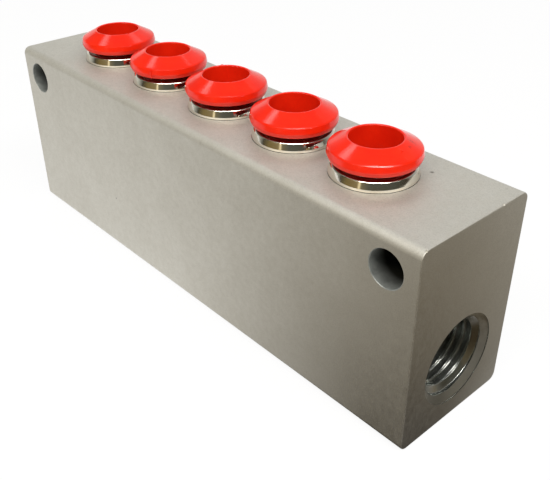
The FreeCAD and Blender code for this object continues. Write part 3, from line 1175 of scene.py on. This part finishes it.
@dataclass
class ReleaseSleeve:
    """Red plastic sleeve: conical flange, shank and a beaded lower end with four slits."""

    bore: float = 4.05
    lip_land: float = 0.3
    lip_radius: float = 0.2
    lip_edge: float = 0.08
    crown: float = 5.75
    flange_radius: float = 7.25
    bulge: float = 3.3
    bulge_radius: float = 0.5
    shoulder_foot: Pair = (7.06, 4.22)
    shoulder_top: Pair = (6.88, 4.40)
    shoulder_round: float = 0.07
    rim_foot_radius: float = 6.95
    rim_foot_rounding: float = 0.22
    underside: float = 2.5
    shank_radius: float = 5.05
    bead_radius: float = 5.65
    bead_top: float = -2.6
    bead_foot: float = -3.9
    nose: float = -4.6
    nose_land: float = 0.6
    edge_round: float = 0.1
    slit_width: float = 1.2
    slit_height: float = 3.6
    overrun: float = 1.0
    margin: float = 0.01
    flats: int = 144
    segments: int = 6
    nubs: dict[int, Mark] = field(default_factory=lambda: {
        2: Mark((-13.78, -6.36, 38.95), (0.34, 0.34, 1.7)),
        3: Mark((-3.95, 2.35, 41.18), (0.62, 0.62, 0.34)),
        5: Mark((39.64, -0.41, 40.90), (0.30, 0.30, 0.34)),
    })

    def slit_tools(self, place: Place, finish: bpy.types.Material) -> list[bpy.types.Object]:
        """Make the two crossed slabs that cut the four slits, each twice as long as the bead is wide.

        Args:
            place: Where the outlet's axis meets the top face.
            finish: Finish of the slits' walls.

        Returns:
            The two cutters, at their place.
        """
        tools = []
        across, deep, up = place
        middle = self.nose + (self.slit_height - self.overrun) / 2
        for index, angle in enumerate((0.0, math.pi / 2)):
            slab = bmesh.new()
            bmesh.ops.create_cube(slab, size=1.0)
            scale(slab, (4 * self.bead_radius, self.slit_width, self.slit_height + self.overrun))
            rotate(slab, angle, "Z")
            move(slab, (across, deep, up + middle))
            tools.append(make_piece(f"slit_tool_{index}", slab, finish))
        return tools

    def build(
        self, number: int, place: Place, finish: bpy.types.Material, painted_shade_finish: bpy.types.Material,
    ) -> bpy.types.Object:
        """Turn one sleeve, slit it and give it the moulding nub that some of them have.

        Args:
            number: Number of its outlet.
            place: Where the outlet's axis meets the top face.
            finish: Its material.
            painted_shade_finish: Darker red of all that lies under the flange, which is painted shade.

        Returns:
            The sleeve, riding on its own body.
        """
        corners = [
            (self.bore, self.nose, 0.0),
            (self.bore + self.nose_land, self.nose, self.edge_round),
            (self.bead_radius, self.bead_foot, self.edge_round),
            (self.bead_radius, self.bead_top, self.edge_round),
            (self.shank_radius, self.bead_top, 0.0),
            (self.shank_radius, self.underside, self.edge_round),
            (self.rim_foot_radius, self.underside, self.rim_foot_rounding),
            (self.flange_radius, self.bulge, self.bulge_radius),
            (*self.shoulder_foot, self.shoulder_round),
            (*self.shoulder_top, self.shoulder_round),
            (self.bore + self.lip_land, self.crown, self.lip_edge),
            (self.bore, self.crown, self.lip_radius),
        ]
        shape = turned(corners, self.flats, self.segments)
        # Painted shade: faces under the flange, outside the bore, take the darker red
        for face in shape.faces:
            middle = face.calc_center_median()
            outside = math.hypot(middle.x, middle.y) > self.bore + self.margin
            if middle.z < self.underside + self.margin and outside:
                face.material_index = SECOND_FINISH
        stand(shape, Axis.UPRIGHT, place)
        sleeve = make_piece(f"red_sleeve_{number}", shape, finish)
        sleeve.data.materials.append(painted_shade_finish)
        work_in(sleeve, self.slit_tools(place, finish), Fit.CUT)
        if number in self.nubs:
            work_in(sleeve, [self.nubs[number].tool("sleeve_nub", finish)], Fit.JOIN)
        smooth(sleeve)
        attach(sleeve, f"sleeve_{number}")
        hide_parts(f"release_sleeve_{number}")
        return sleeve


@dataclass
class FittingRow:
    """Five fittings in a row along the bar's top."""

    block: Block
    pitch: float = 17.2
    count: int = 5
    collar: Collar = field(default_factory=Collar)
    sleeve: ReleaseSleeve = field(default_factory=ReleaseSleeve)

    def places(self) -> list[float]:
        """Give the X of each outlet, from the -X end."""
        return [(number - (self.count + 1) / 2) * self.pitch for number in range(1, self.count + 1)]

    def build(self) -> list[bpy.types.Object]:
        """Make every collar and sleeve and dress the rings that stay from the frame.

        Returns:
            The new pieces.
        """
        nickel = NickelPlate().make()
        red = RedPlastic().make()
        # Painted shade: a darker red for the shanks and the flanges' undersides
        painted_shade_red = RedPlastic("sleeve_shank_painted_shade", (0.26, 0.007, 0.004), (0.20, 0.005, 0.003)).make()
        inner = {kind: finish.make() for kind, finish in INNER_FINISHES.items()}
        pieces = []
        for number, across in enumerate(self.places(), start=1):
            place = (across, 0.0, self.block.height)
            pieces.append(self.collar.build(number, place, nickel))
            pieces.append(self.sleeve.build(number, place, red, painted_shade_red))
            for kind, finish in inner.items():
                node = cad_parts[f"{kind}_{number}"]
                for slot in node.material_slots:
                    slot.material = finish
        return pieces


# The studio


def direction(azimuth: float, elevation: float) -> Vector:
    """Give the direction at an azimuth round from the bar's front and an elevation, in degrees."""
    turn, lift = math.radians(azimuth), math.radians(elevation)
    return Vector((math.sin(turn) * math.cos(lift), -math.cos(turn) * math.cos(lift), math.sin(lift)))


def hide_card(card: bpy.types.Object) -> None:
    """Leave a card to the reflections in metal and gloss alone, as no part of the object.

    Args:
        card: The card, with its glow as its first material.
    """
    card.visible_camera = False
    card.visible_shadow = False
    card.visible_diffuse = False
    card.data.materials[0].cycles.emission_sampling = "NONE"
    card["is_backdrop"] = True


def seen_directly(tree: bpy.types.NodeTree) -> bpy.types.NodeSocket:
    """Tell the rays that show a surface from those that only light the object.

    Args:
        tree: Node tree of a material or of the world.

    Returns:
        1 for rays from the camera, off gloss or through glass, and 0 for the rest.
    """
    path = tree.nodes.new("ShaderNodeLightPath")
    total = path.outputs["Is Camera Ray"]
    for name in ("Is Glossy Ray", "Is Transmission Ray"):
        either = tree.nodes.new("ShaderNodeMath")
        either.operation = Sum.LARGER.value
        tree.links.new(total, either.inputs[0])
        tree.links.new(path.outputs[name], either.inputs[1])
        total = either.outputs[0]
    return total


@dataclass(frozen=True)
class Lamp:
    """A soft rectangular lamp, placed by its direction from the object. Its sizes are in metres."""

    name: str
    azimuth: float
    elevation: float
    distance: float
    width: float
    height: float
    radiance: float
    tint: Colour = WHITE

    def place(self, target: Vector) -> None:
        """Hang the lamp and turn it to its target.

        Args:
            target: The place that it lights, in metres.
        """
        data = bpy.data.lights.new(self.name, "AREA")
        data.shape = "RECTANGLE"
        data.size = self.width
        data.size_y = self.height
        data.energy = self.radiance * math.pi * self.width * self.height
        data.color = self.tint
        lamp = bpy.data.objects.new(self.name, data)
        lamp.location = target + direction(self.azimuth, self.elevation) * self.distance
        lamp.rotation_euler = (target - lamp.location).to_track_quat("-Z", "Y").to_euler()
        bpy.context.scene.collection.objects.link(lamp)


@dataclass(frozen=True)
class SurroundBand:
    """A band of the room round the object, seen only in reflections.

    It reaches from the elevation `low` to `high`, and its colour changes with azimuth by `stops`.
    """

    name: str
    distance: float
    low: float
    high: float
    stops: Stops
    steps: int = 72
    rings: int = 8

    def place(self) -> None:
        """Stand the band round the object."""
        shape = bmesh.new()
        rise = (self.high - self.low) / self.rings
        lifts = [math.radians(self.low + rise * index) for index in range(self.rings + 1)]
        profile = [(self.distance * math.cos(lift), 0, self.distance * math.sin(lift)) for lift in lifts]
        ends = [shape.verts.new(place) for place in profile]
        for first, second in zip(ends, ends[1:]):
            shape.edges.new((first, second))
        bmesh.ops.spin(
            shape, geom=shape.verts[:] + shape.edges[:], cent=(0, 0, 0), axis=(0, 0, 1), dvec=(0, 0, 0),
            angle=FULL_TURN, steps=self.steps, use_merge=True,
        )
        hide_card(make_piece(self.name, shape, self.finish()))

    def finish(self) -> bpy.types.Material:
        """Make the glow, whose colour goes from stop to stop round the band.

        Returns:
            The material.
        """
        sheet = FinishSheet(self.name + "_finish")
        forward = sheet.sum(Sum.TIMES, sheet.along(Axis.THROUGH_BAR), -1.0)
        turn = sheet.sum(Sum.ANGLE, sheet.along(Axis.ALONG_BAR), forward)
        ramp = sheet.node("ShaderNodeValToRGB", Fac=sheet.spread(turn, (-math.pi, math.pi)))
        stops = ramp.color_ramp.elements
        # A new stop may lie anywhere, as the loop below gives every stop its own place
        while len(stops) < len(self.stops):
            stops.new(0.5)
        for stop, (azimuth, colour) in zip(stops, self.stops):
            stop.position = (azimuth + 180) / 360
            stop.color = (*colour, 1.0)
        sheet.show(sheet.glow(ramp.outputs["Color"]))
        return sheet.material


@dataclass(frozen=True)
class DarkCloth:
    """Dark cloth on the floor towards the right, seen only in reflections, with a soft border.

    The border runs straight across the floor: a point's distance past the origin is measured along
    `heading`, and the cloth fades in from `start` to `full` of that distance. Round `shade_centre`
    lies a painted contact shadow in `shade_colour`, up to `shade_full` and fading out to `shade_end`.
    """

    name: str
    heading: Pair
    start: float
    full: float
    colour: Colour
    shade_centre: Pair
    shade_full: float
    shade_end: float
    shade_colour: Colour
    half_side: float = 900.0
    lift: float = 0.05

    def place(self) -> None:
        """Lay the cloth."""
        shape = bmesh.new()
        bmesh.ops.create_grid(shape, x_segments=1, y_segments=1, size=self.half_side)
        move(shape, (0, 0, self.lift))
        hide_card(make_piece(self.name, shape, self.finish()))

    def finish(self) -> bpy.types.Material:
        """Make the cloth's dark glow, which is clear before its border.

        Returns:
            The material.
        """
        sheet = FinishSheet(self.name + "_finish")
        past = sheet.node("ShaderNodeVectorMath", {"operation": "DOT_PRODUCT"})
        sheet.put(past.inputs[0], sheet.place)
        past.inputs[1].default_value = (*self.heading, 0.0)
        share = sheet.spread(past.outputs["Value"], (self.start * MM, self.full * MM))
        # Painted shadow: the dark patch near the bar's +X end stands for its contact shadow on the floor
        shade = sheet.near((*self.shade_centre, 0.0), self.shade_full, self.shade_end)
        glow = sheet.glow(sheet.blend(shade, self.colour, self.shade_colour))
        clear = sheet.node("ShaderNodeBsdfTransparent").outputs["BSDF"]
        sheet.show(sheet.mixed(sheet.sum(Sum.LARGER, share, shade), clear, glow))
        return sheet.material


# Colours of the room in front and to the right of the object, by azimuth, which both walls have
FRONT_STOPS: Stops = (
    (-40.0, (0.06, 0.055, 0.04)),
    (-20.0, (0.20, 0.15, 0.06)),
    (8.0, (0.26, 0.20, 0.10)),
    (13.0, (1.10, 0.95, 0.60)),
    (17.0, (0.20, 0.17, 0.10)),
    (35.0, (0.10, 0.10, 0.08)),
    (100.0, (0.07, 0.07, 0.055)),
    (125.0, (0.05, 0.04, 0.025)),
)

LOW_WALLS = SurroundBand("low_walls", distance=480.0, low=0.0, high=24.0, stops=(
    (-180.0, (0.60, 0.60, 0.58)),
    (-160.0, (0.80, 0.80, 0.78)),
    (-125.0, (0.82, 0.82, 0.80)),
    (-100.0, (0.80, 0.81, 0.77)),
    (-85.0, (0.74, 0.75, 0.70)),
    (-60.0, (0.48, 0.49, 0.44)),
    *FRONT_STOPS,
    (145.0, (0.28, 0.28, 0.26)),
    (168.0, (0.46, 0.46, 0.44)),
    (180.0, (0.60, 0.60, 0.58)),
))

HIGH_WALLS = SurroundBand("high_walls", distance=480.0, low=24.0, high=51.0, stops=(
    (-180.0, (0.42, 0.42, 0.40)),
    (-160.0, (0.56, 0.57, 0.59)),
    (-120.0, (0.62, 0.63, 0.65)),
    (-100.0, (0.20, 0.20, 0.18)),
    (-80.0, (0.10, 0.10, 0.09)),
    (-55.0, (0.22, 0.23, 0.19)),
    *FRONT_STOPS,
    (145.0, (0.26, 0.26, 0.24)),
    (168.0, (0.36, 0.36, 0.34)),
    (180.0, (0.42, 0.42, 0.40)),
))

CEILING = SurroundBand("room_ceiling", distance=1200.0, low=50.0, high=90.0, stops=(
    (-180.0, (0.27, 0.27, 0.27)),
    (180.0, (0.27, 0.27, 0.27)),
))

# The shade patch round (58, -19) is a painted contact shadow near the bar's +X front corner, seen in
# reflections
CLOTH = DarkCloth(
    "dark_cloth", heading=(0.84, -0.54), start=10.0, full=46.0, colour=(0.180, 0.140, 0.080),
    shade_centre=(58.0, -19.0), shade_full=12.0, shade_end=64.0, shade_colour=(0.014, 0.006, 0.001),
)


@dataclass
class Studio:
    """Pale floor, white surroundings, soft lamps, the cards that reflections see, and the camera."""

    camera_azimuth: float = 47.1961
    camera_elevation: float = 31.6547
    camera_roll: float = -0.0668
    camera_place: Place = (99.626, -78.380, 88.515)
    camera_reach: Pair = (0.005, 20.0)
    picture_size: tuple[int, int] = (550, 480)
    focal_pixels: float = 766.6
    picture_centre: Pair = (284.746, 225.083)
    sensor_width: float = 36.0
    floor_half: float = 3000.0
    floor_colour: Colour = (0.86, 0.86, 0.86)
    floor_roughness: float = 0.8
    floor_gloss: float = 0.2
    white_share: float = 0.90
    sky_for_bounce: float = 0.36
    target_height: float = 20.0
    lamps: tuple[Lamp, ...] = (
        Lamp(
            "window_lamp", azimuth=50.0, elevation=58.5, distance=0.60,
            width=1.30, height=0.075, radiance=19.6, tint=(1.0, 0.98, 0.94),
        ),
        Lamp(
            "left_lamp", azimuth=-86.0, elevation=57.5, distance=0.55,
            width=0.09, height=0.085, radiance=2.7,
        ),
        Lamp(
            "skylight", azimuth=-124.0, elevation=56.0, distance=0.70,
            width=0.55, height=0.20, radiance=1.35, tint=(0.95, 0.98, 1.0),
        ),
    )
    cards: tuple[SurroundBand | DarkCloth, ...] = (LOW_WALLS, HIGH_WALLS, CEILING, CLOTH)

    def build(self) -> None:
        """Set up everything round the object."""
        self.make_floor()
        self.make_sky()
        self.make_camera()
        target = Vector((0, 0, self.target_height * MM))
        for lamp in self.lamps:
            lamp.place(target)
        for card in self.cards:
            card.place()
        bpy.context.scene.view_settings.view_transform = "Standard"

    def make_floor(self) -> None:
        """Lay the pale floor, which looks nearly white and still shows the shadow."""
        shape = bmesh.new()
        bmesh.ops.create_grid(shape, x_segments=1, y_segments=1, size=self.floor_half)
        sheet = FinishSheet("pale_floor_finish")
        sheet.set_surface(
            Base_Color=self.floor_colour, Roughness=self.floor_roughness,
            Specular_IOR_Level=self.floor_gloss,
        )
        share = sheet.sum(Sum.TIMES, seen_directly(sheet.tree), self.white_share)
        sheet.show(sheet.mixed(share, sheet.surface.outputs["BSDF"], sheet.glow(WHITE)))
        sheet.material.cycles.emission_sampling = "NONE"
        make_piece("pale_floor", shape, sheet.material)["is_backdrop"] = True

    def make_sky(self) -> None:
        """Surround the scene with white, dimmer where it only lights the object."""
        world = bpy.data.worlds.new("white_surroundings")
        world.use_nodes = True
        tree = world.node_tree
        tree.nodes.clear()
        output = tree.nodes.new("ShaderNodeOutputWorld")
        both = tree.nodes.new("ShaderNodeMixShader")
        for index, strength in ((1, self.sky_for_bounce), (2, 1.0)):
            sky = tree.nodes.new("ShaderNodeBackground")
            sky.inputs["Color"].default_value = (*WHITE, 1.0)
            sky.inputs["Strength"].default_value = strength
            tree.links.new(sky.outputs["Background"], both.inputs[index])
        tree.links.new(seen_directly(tree), both.inputs[0])
        tree.links.new(both.outputs["Shader"], output.inputs["Surface"])
        bpy.context.scene.world = world

    def make_camera(self) -> None:
        """Put the camera where the photograph was taken from, with its field of view."""
        width, height = self.picture_size
        centre_across, centre_down = self.picture_centre
        data = bpy.data.cameras.new("camera")
        data.sensor_width = self.sensor_width
        data.lens = self.sensor_width * self.focal_pixels / width
        data.shift_x = (width / 2 - centre_across) / width
        data.shift_y = (centre_down - height / 2) / width
        data.clip_start, data.clip_end = self.camera_reach
        camera = bpy.data.objects.new("camera", data)
        back = direction(self.camera_azimuth, self.camera_elevation)
        right = Vector((0, 0, 1)).cross(back).normalized()
        up = back.cross(right)
        turn = Matrix((right, up, back)).transposed().to_4x4()
        roll = Matrix.Rotation(-math.radians(self.camera_roll), 4, "Z")
        camera.matrix_world = Matrix.Translation(Vector(self.camera_place) * MM) @ turn @ roll
        bpy.context.scene.collection.objects.link(camera)
        bpy.context.scene.camera = camera


def main(cad_box: tuple[Vector, Vector]) -> None:
    """Build the object's pieces and the studio, and report each piece.

    Args:
        cad_box: Lowest and highest corner of the CAD model; not used.
    """
    logging.basicConfig(level=logging.INFO, format="%(message)s")
    block = Block()
    row = FittingRow(block)
    made = [block.build(row.places(), BlastedAluminium().make())]
    thread_finish = TurnedAluminium(
        "thread_finish", Axis.ALONG_BAR, (0.58, 0.60, 0.58), (0.46, 0.48, 0.46),
        tool_marks=Grain(0.5, 3.0, 0.6), roughness=(0.19, 0.27),
    ).make()
    for name, side in (("port_thread_right", 1), ("port_thread_left", -1)):
        made.append(PortThread(block).build(name, side, thread_finish))
    made += row.build()
    for piece in made:
        log.info("%s: %d faces", piece.name, len(piece.data.polygons))
    Studio().build()


if __name__ == "__main__":
    main(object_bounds())
